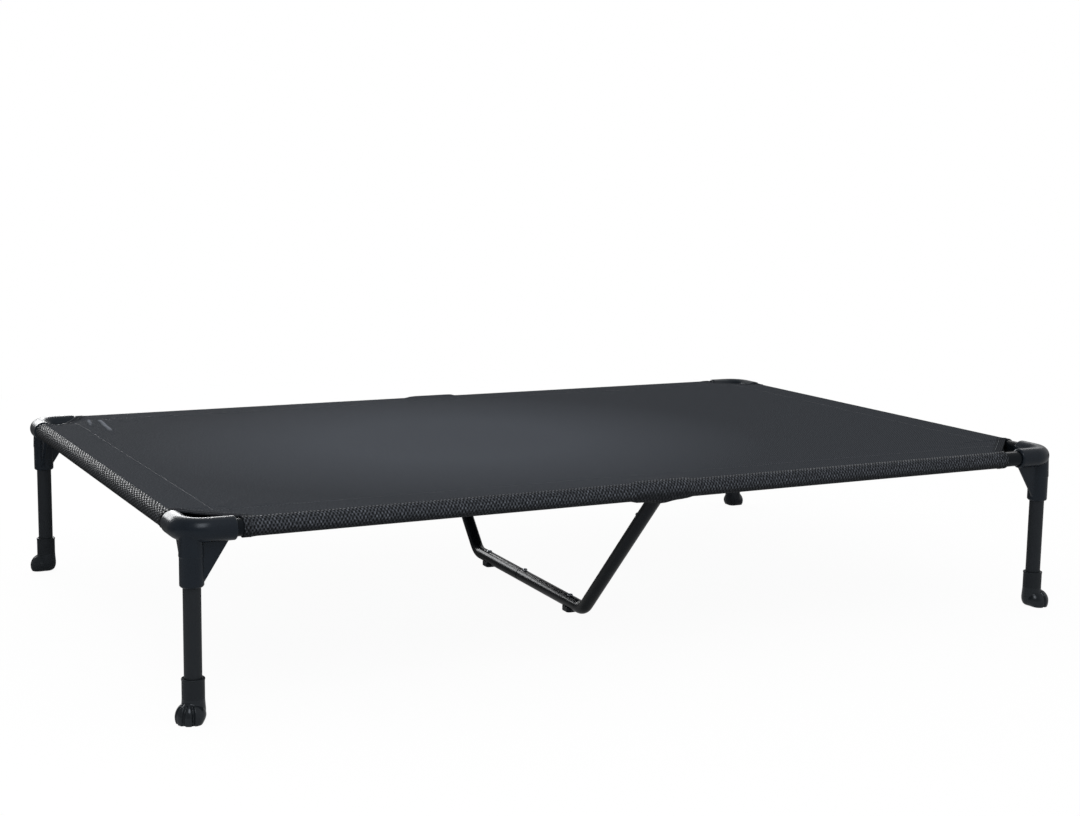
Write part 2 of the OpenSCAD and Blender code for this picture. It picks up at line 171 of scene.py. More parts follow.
print("helpers for objects ready")

# %% [markdown]
# ## Stage and light
#
# The cot stands on a white sweep. The camera sees the sky quite white and the floor almost so: it keeps a
# faint shadow round the cot and fades to the white of the sky a little way off. The sky lights the cot
# evenly from all sides, a little under full strength, so that a colour renders about as it is written. What
# a glossy face mirrors is dimmer than that: the sky is dimmest towards the left, as in a room with a dark
# wall there, and the floor it mirrors is a plain glow, dimmer from under the cot backwards, a painted
# shadow. A low wide lamp behind gives the left sleeve and the tops of the corners their hard highlights. A
# smaller one to the right gives the far corner its own, and one above the front gives the toes theirs.

# %% Floor
FLOOR_SIZE = 60.0
WHITE = (1.0, 1.0, 1.0, 1.0)
FADE_FROM, FADE_TO = 0.8, 2.2
WHITE_NEAR, WHITE_FAR = 0.95, 1.0
GLOW_FROM, GLOW_TO = -0.15, 0.2
GLOW_FRONT, GLOW_SHADOWED = 0.42, 0.12


def looked_at(tree, rays):
    """1 for what the camera sees, also through something clear, and 0 for the rest of the light."""
    kinds = {0: rays["Is Camera Ray"], 1: rays["Is Transmission Ray"]}
    return add(tree, "Math", kinds, operation="MAXIMUM").outputs[0]


bpy.ops.object.select_all(action="DESELECT")
bpy.ops.mesh.primitive_plane_add(size=FLOOR_SIZE, location=(0.0, 0.0, 0.0))
floor = bpy.context.object
floor.name = "floor"
floor_finish, tree, shader = finish_of("white_studio_floor", Roughness=0.9, Specular_IOR_Level=0.1)
shader.inputs["Base Color"].default_value = linear("#f8f8f8")
rays = add(tree, "LightPath").outputs
spot = add(tree, "TexCoord").outputs["Object"]
away = add(tree, "VectorMath", {0: spot}, operation="LENGTH").outputs["Value"]
fade = add(tree, "MapRange", {0: away, 1: FADE_FROM, 2: FADE_TO, 3: WHITE_NEAR, 4: WHITE_FAR}).outputs[0]
share = add(tree, "Math", {0: looked_at(tree, rays), 1: fade}, operation="MULTIPLY").outputs[0]
white = add(tree, "Emission", {"Color": WHITE, "Strength": 1.0}).outputs[0]
# Glossy faces see the floor as a plain glow that dims from GLOW_FROM to GLOW_TO in Y, a painted shadow under
# and behind the cot.
depth = add(tree, "SeparateXYZ", {0: spot}).outputs["Y"]
glow = add(tree, "MapRange", {0: depth, 1: GLOW_FROM, 2: GLOW_TO, 3: GLOW_FRONT, 4: GLOW_SHADOWED}).outputs[0]
dim = add(tree, "Emission", {"Color": WHITE, "Strength": glow}).outputs[0]
sweep = add(tree, "MixShader", {0: share, 1: shader.outputs[0], 2: white}).outputs[0]
whole = add(tree, "MixShader", {0: rays["Is Glossy Ray"], 1: sweep, 2: dim}).outputs[0]
tree.links.new(whole, tree.nodes["Material Output"].inputs["Surface"])
floor.data.materials.append(floor_finish)
print("floor", floor.dimensions[:])

# %% Sky
SKY_LIGHT = 0.85
MIRROR_FROM, MIRROR_TO = -0.35, 0.2
MIRROR_LEFT, MIRROR_RIGHT = 0.19, 0.48
world = bpy.data.worlds.new("white_studio")
bpy.context.scene.world = world
world.use_nodes = True
tree = world.node_tree
sky = tree.nodes["Background"]
sky.inputs["Color"].default_value = WHITE
rays = add(tree, "LightPath").outputs
direction = add(tree, "SeparateXYZ", {0: add(tree, "TexCoord").outputs["Generated"]}).outputs["X"]
swing = {0: direction, 1: MIRROR_FROM, 2: MIRROR_TO, 3: MIRROR_LEFT, 4: MIRROR_RIGHT}
mirrored = add(tree, "MapRange", swing).outputs[0]
lit = add(tree, "Mix", {0: rays["Is Glossy Ray"], 2: SKY_LIGHT, 3: mirrored}).outputs[0]
strength = add(tree, "Mix", {0: looked_at(tree, rays), 2: lit, 3: 1.0}).outputs[0]
tree.links.new(strength, sky.inputs["Strength"])
print("sky nodes:", len(tree.nodes))

# %% Lamps
def softbox(name, place, aim, size, power):
    """A rectangular lamp that the camera doesn't see; its size is in metres and its power in watts."""
    light = bpy.data.lights.new(name, "AREA")
    light.shape = "RECTANGLE"
    light.size, light.size_y = size
    light.energy = power
    lamp = bpy.data.objects.new(name, light)
    bpy.context.scene.collection.objects.link(lamp)
    lamp.location = place
    lamp.rotation_euler = (Vector(aim) - Vector(place)).to_track_quat("-Z", "Y").to_euler()
    lamp.visible_camera = False
    print(name, "at", place)


softbox("low_softbox", place=(-0.5, 3.75, 1.36), aim=(-0.5, 0.0, 0.2), size=(2.9, 0.7), power=56.0)
softbox("side_softbox", place=(2.55, 1.6, 1.6), aim=(0.5, -0.3, 0.2), size=(1.3, 0.7), power=4.5)
softbox("front_softbox", place=(-1.0, -1.4, 1.8), aim=(-0.5, -0.4, 0.1), size=(0.7, 1.2), power=13.0)

# %% [markdown]
# ## Moulded plastic of the corners
#
# The corners are injection-moulded polypropylene, dyed black. The tool's polish leaves a low gloss with a
# faint ripple, and handling dulls it in patches, so the roughness wanders over some centimetres.

# %% Polypropylene
moulded, tree, shader = finish_of("moulded_polypropylene_black", IOR=1.49, Specular_IOR_Level=0.32)
mottle(tree, shader, size=0.022, detail=3.0, colours=("#10151b", "#151b22"), roughness=(0.22, 0.34))
fine_relief(tree, shader, size=0.0035, detail=2.0, strength=0.12, depth=0.0004)
print(moulded.name)

# %% [markdown]
# ## Coated tubes
#
# The legs are steel tube with a black powder coat, baked to a satin finish with a fine orange peel. The
# rails and the bent support are smoother: a stove enamel that mirrors the lamps in long stripes.

# %% Powder coat
coated, tree, shader = finish_of("satin_black_powder_coat", IOR=1.5, Specular_IOR_Level=0.3)
mottle(tree, shader, size=0.03, detail=2.0, colours=("#191c1f", "#1e2124"), roughness=(0.4, 0.5))
fine_relief(tree, shader, size=0.0016, detail=1.0, strength=0.15, depth=0.0002)
dress("leg_", coated)
print(coated.name)

# %% Enamel
enamel, tree, shader = finish_of("black_stove_enamel", IOR=1.52, Specular_IOR_Level=0.14)
mottle(tree, shader, size=0.018, detail=2.0, colours=("#0a0d10", "#101418"), roughness=(0.2, 0.3))
dress(("rail_", "tee_", "support_"), enamel)
print(enamel.name)

# %% [markdown]
# ## Rubber and plated steel
#
# The feet and the pads under the support are moulded rubber with a dull bloom. Low down, where the toes
# are, the tool is polished and so is the rubber. The rivets, snap buttons and springs are zinc plated, with
# the fine uneven grain of barrel plating.

# %% Rubber
def rubber_finish(name, shine, roughness):
    """Moulded rubber; a polished part of the tool leaves it with more shine and less roughness."""
    material, tree, shader = finish_of(name, IOR=1.5, Specular_IOR_Level=shine)
    mottle(tree, shader, size=0.012, detail=3.0, colours=("#15181b", "#1b1e21"), roughness=roughness)
    fine_relief(tree, shader, size=0.0011, detail=2.0, strength=0.1, depth=0.0002)
    print(material.name)
    return material


rubber = rubber_finish("moulded_black_rubber", shine=0.3, roughness=(0.4, 0.52))
polished = rubber_finish("polished_black_rubber", shine=0.42, roughness=(0.14, 0.26))

# %% Plated steel
plated, tree, shader = finish_of("zinc_plated_steel", Metallic=1.0)
mottle(tree, shader, size=0.0015, detail=2.0, colours=("#8b8e92", "#b4b7ba"), roughness=(0.22, 0.36))
dress(("button_", "spring_", "pad_rivets"), plated)
print(plated.name)

# %% [markdown]
# ## Soft edges on the mouldings
#
# A mould has no knife edges: the gussets run into the sockets with a small radius, and the toes of a paw
# are rounded over. A copy of each solid is merged, rebuilt as an even skin of small squares and eased a
# little, which rounds every edge by about a millimetre and leaves the form alone. On the paws, the grooves
# between the toes are then carved deeper and the heel is rounded off towards the floor.

# %% Carving of a paw
PAW_OFFSET, PAW_HEIGHT = 0.0065, 0.0070
GROOVES = (-40.0, 0.0, 40.0)
GROOVE_WIDTH, GROOVE_DEPTH = 0.0014, 0.0010
HEEL_ROUND, HEEL_PULL = 0.012, 0.50
SOLE, TOE_TOP = 0.0004, 0.0265
# Where a change begins and where it is whole: metres from the ball of the paw, then degrees up and round it
GROOVE_START = (0.0125, 0.0145)
GROOVE_CLIMB = (52.0, 66.0)
GROOVE_TURN = (70.0, 95.0)
HEEL_TURN = (50.0, 100.0)


def smooth(low, high, value):
    """Rises from 0 to 1 between two values, without a corner at either end."""
    share = min(1.0, max(0.0, (value - low) / (high - low)))
    return share * share * (3 - 2 * share)


def carve_paw(piece, leg, toes):
    """Deepens the grooves of a paw and rounds its heel; toes is the way that it points in plan."""
    corners = [Vector(c) for c in leg.bound_box]
    axis_x = (min(c.x for c in corners) + max(c.x for c in corners)) / 2
    axis_y = (min(c.y for c in corners) + max(c.y for c in corners)) / 2
    for vertex in piece.data.vertices:
        out = Vector((vertex.co.x - axis_x, vertex.co.y - axis_y))
        ahead, aside = out.dot(toes), out.x * -toes.y + out.y * toes.x
        low = min(1.0, max(0.0, 1 - vertex.co.z / HEEL_ROUND))
        behind = smooth(*HEEL_TURN, abs(math.degrees(math.atan2(aside, ahead))))
        pull = HEEL_PULL * behind * (1 - math.sqrt(1 - low * low))
        vertex.co.x -= pull * out.x
        vertex.co.y -= pull * out.y
        ball = Vector((ahead - PAW_OFFSET, aside, vertex.co.z - PAW_HEIGHT))
        turn, span = math.degrees(math.atan2(ball.y, ball.x)), math.hypot(ball.x, ball.y)
        climb = math.degrees(math.atan2(ball.z, span))
        reach = smooth(*GROOVE_START, ball.length) * (1 - smooth(*GROOVE_CLIMB, climb))
        reach *= 1 - smooth(*GROOVE_TURN, abs(turn))
        depth = 0.0
        for groove in GROOVES:
            depth += GROOVE_DEPTH * math.exp(-(math.radians(turn - groove) * span / GROOVE_WIDTH) ** 2)
        if reach > 0 and vertex.co.z > SOLE:
            inward = (toes * ball.x + Vector((-toes.y, toes.x)) * ball.y).to_3d() / ball.length
            inward.z = ball.z / ball.length
            vertex.co -= inward * depth * reach


print("grooves between the toes, in degrees:", GROOVES)

# %% Round the corners and feet
MERGED = 1e-6
EASE = 0.5
FACES_KEPT = 0.35
CORNER_SKIN, RUBBER_SKIN = 0.0006, 0.00045
CORNER_PASSES, PAW_PASSES, PAD_PASSES = 6, 6, 4


def moulding(name, voxel, passes, finish, carving=None):
    """A copy of one solid with its edges eased, which then stands for it."""
    piece = bpy.data.objects.new(name + "_moulding", nodes[name].data.copy())
    bpy.context.scene.collection.objects.link(piece)
    only(piece)
    bpy.ops.object.mode_set(mode="EDIT")
    bpy.ops.mesh.select_all(action="SELECT")
    bpy.ops.mesh.remove_doubles(threshold=MERGED)
    bpy.ops.object.mode_set(mode="OBJECT")
    skin = piece.modifiers.new("skin", "REMESH")
    skin.mode = "VOXEL"
    skin.voxel_size = voxel
    ease = piece.modifiers.new("ease", "SMOOTH")
    ease.factor = EASE
    ease.iterations = passes
    apply_modifiers(piece)
    if carving:
        carve_paw(piece, *carving)
    thin = piece.modifiers.new("thin", "DECIMATE")
    thin.ratio = FACES_KEPT
    apply_modifiers(piece)
    bpy.ops.object.shade_smooth()
    piece.data.materials.clear()
    piece.data.materials.append(finish)
    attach(piece, "frame")
    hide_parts(name)
    return piece


for end, sy in (("front", -1), ("rear", 1)):
    for side, sx in (("left", -1), ("right", 1)):
        corner = moulding(f"corner_{end}_{side}", CORNER_SKIN, CORNER_PASSES, moulded)
        carving = nodes[f"leg_{end}_{side}"], Vector((sx, sy)).normalized()
        paw = moulding(f"foot_{end}_{side}", RUBBER_SKIN, PAW_PASSES, rubber, carving)
        paw.data.materials.append(polished)
        for polygon in paw.data.polygons:
            polygon.material_index = int(polygon.center.z < TOE_TOP)
        print(corner.name, len(corner.data.polygons), paw.name, len(paw.data.polygons))
for name in ("pad_front", "pad_rear"):
    moulding(name, RUBBER_SKIN, PAD_PASSES, rubber)

# %% [markdown]
# ## Sling
#
# The sling is one piece of coated polyester mesh. Each side runs over its rail, round under it and back to
# a row of stitching 45 mm in from the rail, and each corner is cut straight across. It is modelled as a
# sheet in the middle of the cloth, laid out by the lines of its own weave, and then given its thickness.

# %% Sizes of the sling, in metres
RAIL_X, RAIL_Y, RAIL_Z = 0.6115, 0.3865, 0.214
CLOTH = 0.001
WRAP = 0.01075
HEM = 0.045
MARGIN = 0.005
CLEARING = {(-1, -1): 0.062, (1, -1): 0.081, (-1, 1): 0.0575, (1, 1): 0.062}
LAND = 0.004
DROOP = {(-1, -1): 0.0010, (1, -1): 0.0015, (-1, 1): 0.0060, (1, 1): 0.0020}
TEE_OFFSET = 0.017
TEE_HALF = 0.036
TEE_SWELL = 0.0021
print("cloth over the rails:", 2 * RAIL_X, "by", 2 * RAIL_Y)

# %% Lines of the weave that carry the mesh
SEAM_STEP, EDGE_STEP, CORNER_STEP, OPEN_STEP = 0.001, 0.003, 0.004, 0.008
CORNER_FROM, OPEN_FROM = 0.05, 0.112
STEPS = 15
CLOSEST, SAME = 0.0008, 1e-6


def weave_lines(half):
    """Places across the sling, close together near the stitching and the corners."""
    kept_whole = {0.0, LAND, HEM} | set(CLEARING.values())
    fine = kept_whole | {HEM + SEAM_STEP * i for i in (-2, -1, 1, 2)}
    fine |= {EDGE_STEP * i for i in range(1, STEPS)}
    fine |= {CORNER_FROM + CORNER_STEP * i for i in range(STEPS)}
    places = {round(sign * (half - d), 6) for d in fine for sign in (-1, 1)}
    start = half - OPEN_FROM
    count = round(2 * start / OPEN_STEP)
    places |= {round(-start + 2 * start * i / count, 6) for i in range(count + 1)}
    kept = []
    for place in sorted(places):
        special = any(abs(abs(place) - (half - d)) < SAME for d in kept_whole)
        if kept and place - kept[-1] < CLOSEST:
            if special:
                kept[-1] = place
            continue
        kept.append(place)
    return kept


xs = weave_lines(RAIL_X)
ys = weave_lines(RAIL_Y)
print("lines:", len(xs), "by", len(ys))

# %% [markdown]
# The stretched cloth isn't quite flat. It hangs a millimetre or so in the middle, the stitching pulls a
# shallow groove, and a few creases run in from the corners, where the pull of two rails meets. The free edge
# across a corner hangs a little, most of all at the rear left, where it is slack.

# %% Sleeve over the tees and beside the arms
SWELL_RAMP = (TEE_HALF - 0.003, TEE_HALF + 0.008)
PULL, PULL_WIDTH = 0.0032, 0.015


def tee_swell(x, side):
    """How far the sleeve stands out over the tee of the front rail, side -1, or the rear rail, side 1."""
    return TEE_SWELL * (1 - smooth(*SWELL_RAMP, abs(x - side * TEE_OFFSET)))


def arm_pull(x, side):
    """How far the underside of the sleeve is drawn down beside the support's arm."""
    return PULL * math.exp(-((x - side * TEE_OFFSET) / PULL_WIDTH) ** 2)


print("swell over a tee:", TEE_SWELL, "pull beside an arm:", PULL)

# %% Creases
CREASE_PAST, CREASE_RAMP, CREASE_TAIL = 0.02, 0.012, 0.03
CREASE_SPREAD = 4
# Each crease: where it starts and ends in plan, its width and its height
CREASES = [
    (-0.5443, 0.3500, -0.5560, 0.2790, 0.0030, 0.0024),
    (-0.5319, 0.3350, -0.5407, 0.2200, 0.0034, 0.0026),
    (-0.5000, 0.3420, -0.4700, 0.2900, 0.0060, 0.0005),
    (-0.5750, 0.3000, -0.5650, 0.2400, 0.0050, 0.0004),
    (-0.5500, -0.3200, -0.5100, -0.2700, 0.0060, 0.0005),
    (-0.5250, -0.3350, -0.4700, -0.3150, 0.0055, 0.0004),
    (0.5250, -0.3150, 0.4800, -0.2500, 0.0060, 0.0006),
    (0.5050, -0.3280, 0.4300, -0.3000, 0.0055, 0.0005),
    (0.5480, 0.3250, 0.5150, 0.2700, 0.0060, 0.0005),
    (0.5300, 0.3380, 0.4700, 0.3120, 0.0055, 0.0004),
]


def crease_height(x, y):
    """How far the creases lift the cloth here."""
    height = 0.0
    for x0, y0, x1, y1, width, rise in CREASES:
        run = math.hypot(x1 - x0, y1 - y0)
        along = ((x - x0) * (x1 - x0) + (y - y0) * (y1 - y0)) / run
        aside = ((x - x0) * (y1 - y0) - (y - y0) * (x1 - x0)) / run
        if -CREASE_PAST < along < run + CREASE_PAST and abs(aside) < CREASE_SPREAD * width:
            ends = smooth(-CREASE_RAMP, CREASE_RAMP, along)
            ends *= 1 - smooth(run - CREASE_TAIL, run + CREASE_RAMP, along)
            height += rise * ends * math.exp(-(aside / width) ** 2)
    return height


print("creases:", len(CREASES))

# %% Relief of the top
DROOP_WIDTH = 0.028
SAG, SAG_X, SAG_Y = 0.0016, 0.45, 0.33
PUCKER, PUCKER_MEAN, PUCKER_SWING = 0.013, 0.6, 0.4
SEAM_DEPTH, SEAM_WIDTH = 0.0005, 0.0013
LIP_HEIGHT, LIP_WIDTH = 0.00022, 0.0045
SWELL_FADE = 0.030


def corner_gap(x, y):
    """Distance in plan from the nearest clearing's edge."""
    gaps = []
    for (sx, sy), reach in CLEARING.items():
        a, b = RAIL_X - sx * x, RAIL_Y - sy * y
        gaps.append(max(a - reach, b - reach, (a + b - reach - LAND) / math.sqrt(2)))
    return min(gaps)


def corner_droop(x, y):
    """How far the free edge across the nearest corner hangs down here."""
    sx, sy = (1 if x > 0 else -1), (1 if y > 0 else -1)
    reach = CLEARING[sx, sy]
    a, b = RAIL_X - sx * x, RAIL_Y - sy * y
    middle = max(0.0, 1 - ((a - b) / (reach - LAND)) ** 2)
    gap = max(0.0, (a + b - reach - LAND) / math.sqrt(2))
    return DROOP[sx, sy] * middle * math.exp(-(gap / DROOP_WIDTH) ** 2)


def relief(x, y):
    """Height of the cloth above its flat place."""
    in_x, in_y = RAIL_X - abs(x), RAIL_Y - abs(y)
    sag = -SAG * smooth(HEM, SAG_X, in_x) * smooth(HEM, SAG_Y, in_y)
    groove = 0.0
    for inboard, along in ((in_x, y), (in_y, x)):
        pucker = PUCKER_MEAN + PUCKER_SWING * math.sin(along * 2 * math.pi / PUCKER)
        groove -= SEAM_DEPTH * pucker * math.exp(-((inboard - HEM) / SEAM_WIDTH) ** 2)
        groove += LIP_HEIGHT * pucker * math.exp(-((inboard - HEM) / LIP_WIDTH) ** 2)
    over_tee = tee_swell(x, 1 if y > 0 else -1) * (1 - smooth(0.0, SWELL_FADE, in_y))
    return sag + groove + over_tee + crease_height(x, y) - corner_droop(x, y)


print("lowest of the top:", round(relief(0.0, 0.0) * 1000, 2), "mm")

# %% [markdown]
# Points of the sheet are kept once each, with their place on the flat cloth, so that the weave can follow
# the surface, and with two weights: one marks the folded hem round each clearing, the other the creases.

# %% Points of the sheet
points, flat_places, hem_weights, crease_weights, faces, known = [], [], [], [], [], {}
HEM_FOLD = 0.0003
HEM_ENDS = (0.0105, 0.0135)
SHARP_CREASE = 0.0024


def sheet_point(place, outward, flat, edge_gap):
    """The number of a point, made the first time it is asked for."""
    key = tuple(round(c, 5) for c in place)
    if key not in known:
        x, y, z = place
        weight = 1 - smooth(*HEM_ENDS, edge_gap)
        crease = crease_height(x, y) / SHARP_CREASE if z > RAIL_Z else 0.0
        known[key] = len(points)
        points.append(tuple(c + HEM_FOLD * weight * o for c, o in zip(place, outward)))
        flat_places.append(flat)
        hem_weights.append(weight)
        crease_weights.append(min(1.0, crease))
    return known[key]


def sheet_face(*corners):
    """Keeps a face, unless its corners fall together."""
    ring = [c for i, c in enumerate(corners) if c != corners[i - 1]]
    if len(ring) > 2:
        faces.append(ring)


def top_point(x, y):
    """The number of a point on the flat of the top."""
    return sheet_point((x, y, RAIL_Z + WRAP + relief(x, y)), (0, 0, 1), (x, y), corner_gap(x, y))


def in_clearing_square(x, y):
    """Whether a place is in the square round a corner that holds its clearing."""
    reach = CLEARING[(1 if x > 0 else -1), (1 if y > 0 else -1)]
    return abs(x) > RAIL_X - reach and abs(y) > RAIL_Y - reach


for x0, x1 in zip(xs, xs[1:]):
    for y0, y1 in zip(ys, ys[1:]):
        if not in_clearing_square((x0 + x1) / 2, (y0 + y1) / 2):
            sheet_face(top_point(x0, y0), top_point(x1, y0), top_point(x1, y1), top_point(x0, y1))
print("flat of the top:", len(points), "points")

# %% Cloth between a corner's straight cut and the square lines round it
RINGS = 9


def lines_into(lines, half, sign, reach):
    """How far in from a rail those lines of the weave lie that run into a clearing."""
    depths = {round(half - abs(p), 6) for p in lines if p * sign > 0}
    return sorted(d for d in depths if d <= reach + SAME)


for (sx, sy), reach in CLEARING.items():
    beside = lines_into(ys, RAIL_Y, sy, reach)
    before = lines_into(xs, RAIL_X, sx, reach)
    border = [(reach, b) for b in beside] + [(a, reach) for a in reversed(before)][1:]
    spokes = []
    for a, b in border:
        cut = min(1.0, (reach + LAND) / (a + b))
        spoke = []
        for ring in range(RINGS + 1):
            share = cut + (1 - cut) * ring / RINGS
            spoke.append(top_point(sx * (RAIL_X - a * share), sy * (RAIL_Y - b * share)))
        spokes.append(spoke)
    for one, two in zip(spokes, spokes[1:]):
        for ring in range(RINGS):
            turn = (one[ring], one[ring + 1], two[ring + 1], two[ring])
            sheet_face(*(turn if sx * sy < 0 else reversed(turn)))
print("with the corners:", len(points), "points")

# %% Section of a sleeve
TOP = math.radians(90)
UNDER = 2 * math.atan2(WRAP - CLOTH / 2, HEM) + math.radians(270)
ARC_STEPS, BACK_STEPS = 26, 9


def sleeve_section(swell):
    """Places round a rail, in and up from its axis, with the way outward and the length of cloth so far."""
    radius = WRAP + swell
    rows = []
    for i in range(ARC_STEPS + 1):
        turn = TOP + (UNDER - TOP) * i / ARC_STEPS
        rows.append((radius * math.cos(turn), radius * math.sin(turn), math.cos(turn), math.sin(turn)))
    low_in, low_up = rows[-1][:2]
    slope = math.atan2(WRAP - CLOTH - low_up, HEM - low_in)
    for i in range(1, BACK_STEPS + 1):
        share = i / BACK_STEPS
        back_in, back_up = low_in + (HEM - low_in) * share, low_up + (WRAP - CLOTH - low_up) * share
        rows.append((back_in, back_up, math.sin(slope), -math.cos(slope)))
    rows.append((HEM + MARGIN, WRAP - CLOTH, 0.0, -1.0))
    length, whole = 0.0, []
    for i, row in enumerate(rows):
        length += math.dist(row[:2], rows[i - 1][:2]) if i else 0.0
        whole.append(row + (length,))
    return whole


print("rows round a rail:", len(sleeve_section(0.0)))

# %% Sleeves
CUT_RUN = 0.06
PULL_TURN = 0.8
PULL_ENDS = (0.012, 0.040)


def sleeve_end(inboard, reach):
    """How far from the rails' crossing a sleeve ends: square round the rail, then cut, then mitred."""
    return reach if inboard < LAND else max(reach + LAND - inboard, inboard)


def sleeve(lines, half, other_half, side, clearings, long_side):
    """Adds one sleeve, along the lines that lie between its two clearings."""
    ends = [-half + clearings[0], half - clearings[1]]
    inside = [p for p in lines if ends[0] - SAME <= p <= ends[1] + SAME]
    grid = []
    for p in inside:
        column = []
        pull = arm_pull(p, side) if long_side else 0.0
        swell = tee_swell(p, side) if long_side else 0.0
        for inboard, up, out_in, out_up, length in sleeve_section(swell):
            place = p
            gap = 1.0
            for end, reach, sign in ((ends[0], clearings[0], -1), (ends[1], clearings[1], 1)):
                cut = sign * (half - sleeve_end(inboard, reach))
                share = 1 - min(1.0, abs(p - end) / CUT_RUN)
                place += (cut - end) * share
                gap = min(gap, abs(p - end) + (1 - share) * abs(cut - end))
            across = side * (other_half - inboard)
            away = -side * out_in
            x, y = (place, across) if long_side else (across, place)
            height = RAIL_Z + up - corner_droop(x, y) * smooth(LAND, HEM, inboard)
            height -= pull * smooth(0.0, PULL_TURN, -out_up) * (1 - smooth(*PULL_ENDS, inboard))
            if long_side:
                outward, flat = (0, away, out_up), (x, side * (other_half + length))
            else:
                outward, flat = (away, 0, out_up), (side * (other_half + length), y)
            column.append(sheet_point((x, y, height), outward, flat, gap))
        grid.append(column)
    flip = (side > 0) == long_side
    for one, two in zip(grid, grid[1:]):
        for row in range(len(one) - 1):
            ring = (one[row], one[row + 1], two[row + 1], two[row])
            sheet_face(*(ring if not flip else reversed(ring)))


for side in (-1, 1):
    sleeve(xs, RAIL_X, RAIL_Y, side, (CLEARING[-1, side], CLEARING[1, side]), True)
    sleeve(ys, RAIL_Y, RAIL_X, side, (CLEARING[side, -1], CLEARING[side, 1]), False)
print("with the sleeves:", len(points), "points,", len(faces), "faces")

# %% Sling mesh, with its thickness
sling_mesh = bpy.data.meshes.new("sling_cloth")
sling_mesh.from_pydata(points, [], faces)
sling = bpy.data.objects.new("sling_cloth", sling_mesh)
bpy.context.scene.collection.objects.link(sling)
flat_map = sling_mesh.uv_layers.new(name="cloth")
for loop in sling_mesh.loops:
    flat_map.data[loop.index].uv = flat_places[loop.vertex_index]
for mark, weights in (("hem", hem_weights), ("crease", crease_weights)):
    sling_mesh.attributes.new(mark, "FLOAT", "POINT").data.foreach_set("value", weights)
folded = sling.vertex_groups.new(name="folded_hem")
for number, weight in enumerate(hem_weights):
    folded.add([number], weight, "REPLACE")
flat_size = (2 * (RAIL_Y + sleeve_section(0.0)[-1][-1]), 2 * (RAIL_X + sleeve_section(0.0)[-1][-1]))
thick = sling.modifiers.new("thickness", "SOLIDIFY")
thick.thickness = CLOTH + 2 * HEM_FOLD
thick.offset = 0.0
thick.vertex_group = "folded_hem"
thick.thickness_vertex_group = CLOTH / (CLOTH + 2 * HEM_FOLD)
apply_modifiers(sling)

# %% Cut the slots for the support's arms
ARM = math.radians(44.453)
TURN = math.atan2(TEE_OFFSET, RAIL_Y)
SLOT_SIDES, SLOT_RADIUS, SLOT_DEPTH, SLOT_AT = 48, 0.0115, 0.050, 0.032
SHARP = math.radians(35)
for side in (-1, 1):
    bpy.ops.object.select_all(action="DESELECT")
    bpy.ops.mesh.primitive_cylinder_add(vertices=SLOT_SIDES, radius=SLOT_RADIUS, depth=SLOT_DEPTH)
    cutter = bpy.context.object
    level = -side * math.cos(ARM)
    run = Vector((level * math.sin(TURN), level * math.cos(TURN), -math.sin(ARM)))
    cutter.matrix_world = (
        Matrix.Translation(Vector((side * TEE_OFFSET, side * RAIL_Y, RAIL_Z)) + run * SLOT_AT)
        @ run.to_track_quat("Z", "X").to_matrix().to_4x4()
    )
    cut = sling.modifiers.new("slot", "BOOLEAN")
    cut.operation = "DIFFERENCE"
    cut.object = cutter
    apply_modifiers(sling)
    bpy.data.objects.remove(cutter)
only(sling)
bpy.ops.object.shade_smooth_by_angle(angle=SHARP)
print("sling faces:", len(sling.data.polygons))

# %% [markdown]
# ## Woven mesh
#
# The cloth is polyester yarn with a charcoal vinyl skin, woven so that crowns and gaps alternate like a
# chessboard. The yarns stand about a millimetre apart, too fine for this view, so they are drawn 3 to 11 mm
# apart, and random spots make some crowns lighter and glossier, partly a tone of the yarn and partly painted
# glints. The top is dull. Drawn tight round the rails, the same yarns lie flat and shine; low on each sleeve
# the crowns fade to the dark of the gaps, a painted shade on the underside. The folded hems hold three
# layers of cloth, and the cloth is darker along them. Sharp creases are painted light, a painted highlight,
# and the middle of the top is painted lighter, a painted sheen.

# %% Crowns of the weave
WANDER, WANDER_REACH = 0.0070, 0.0016
CROWN_FROM, CROWN_TO = -0.5, 0.7
LIT_TO, SHADE_FROM, SHADE_LEVEL = 0.017, 0.023, 0.25


